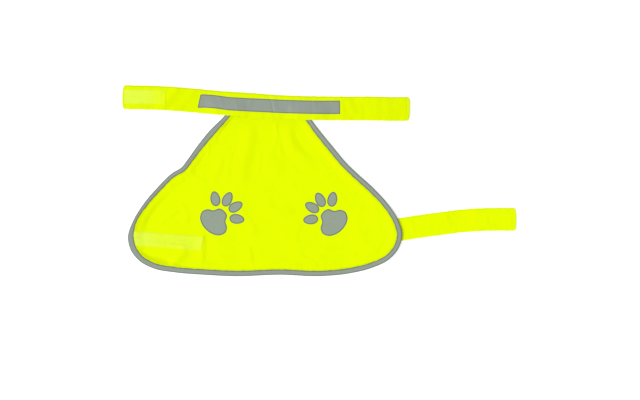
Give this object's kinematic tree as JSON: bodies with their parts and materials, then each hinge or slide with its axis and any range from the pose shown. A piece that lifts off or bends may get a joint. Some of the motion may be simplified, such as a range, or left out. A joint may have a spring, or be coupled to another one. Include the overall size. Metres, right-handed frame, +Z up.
{
  "type": "dog safety vest",
  "caption": "High-visibility dog vest laid flat: a bound back panel with reflective paw motifs, a neck band with a reflective strip, and a belly strap, closed with hook and loop tape.",
  "frame": {"origin": "on the surface that the vest lies on, under the middle of its bounding box", "axes": "+X along the neck band, to the side of the belly strap, +Y from the hem towards the neck, +Z up from the surface through the outside of the cloth"},
  "size_m": [0.7444, 0.361, 0.0072],
  "materials": {
    "hi_vis_cloth": "matt fluorescent yellow knitted polyester",
    "reflective_tape": "grey glass-bead reflective tape, satin",
    "reflective_film": "grey reflective transfer film, satin",
    "loop_tape": "brushed loop pile, matt",
    "hook_tape": "woven hook tape, slightly glossy"
  },
  "bodies": {
    "root": {"back_panel": "hi_vis_cloth", "edge_binding": "reflective_tape", "neck_band": "hi_vis_cloth", "neck_reflective_strip": "reflective_tape", "neck_loop_tape": "loop_tape", "neck_hook_tape": "hook_tape", "belly_strap": "hi_vis_cloth", "belly_hook_tape": "hook_tape", "flank_loop_tape": "loop_tape", "paw_left_pad": "reflective_film", "paw_left_toe_1": "reflective_film", "paw_left_toe_2": "reflective_film", "paw_left_toe_3": "reflective_film", "paw_left_toe_4": "reflective_film", "paw_right_pad": "reflective_film", "paw_right_toe_1": "reflective_film", "paw_right_toe_2": "reflective_film", "paw_right_toe_3": "reflective_film", "paw_right_toe_4": "reflective_film"}
  },
  "joints": []
}
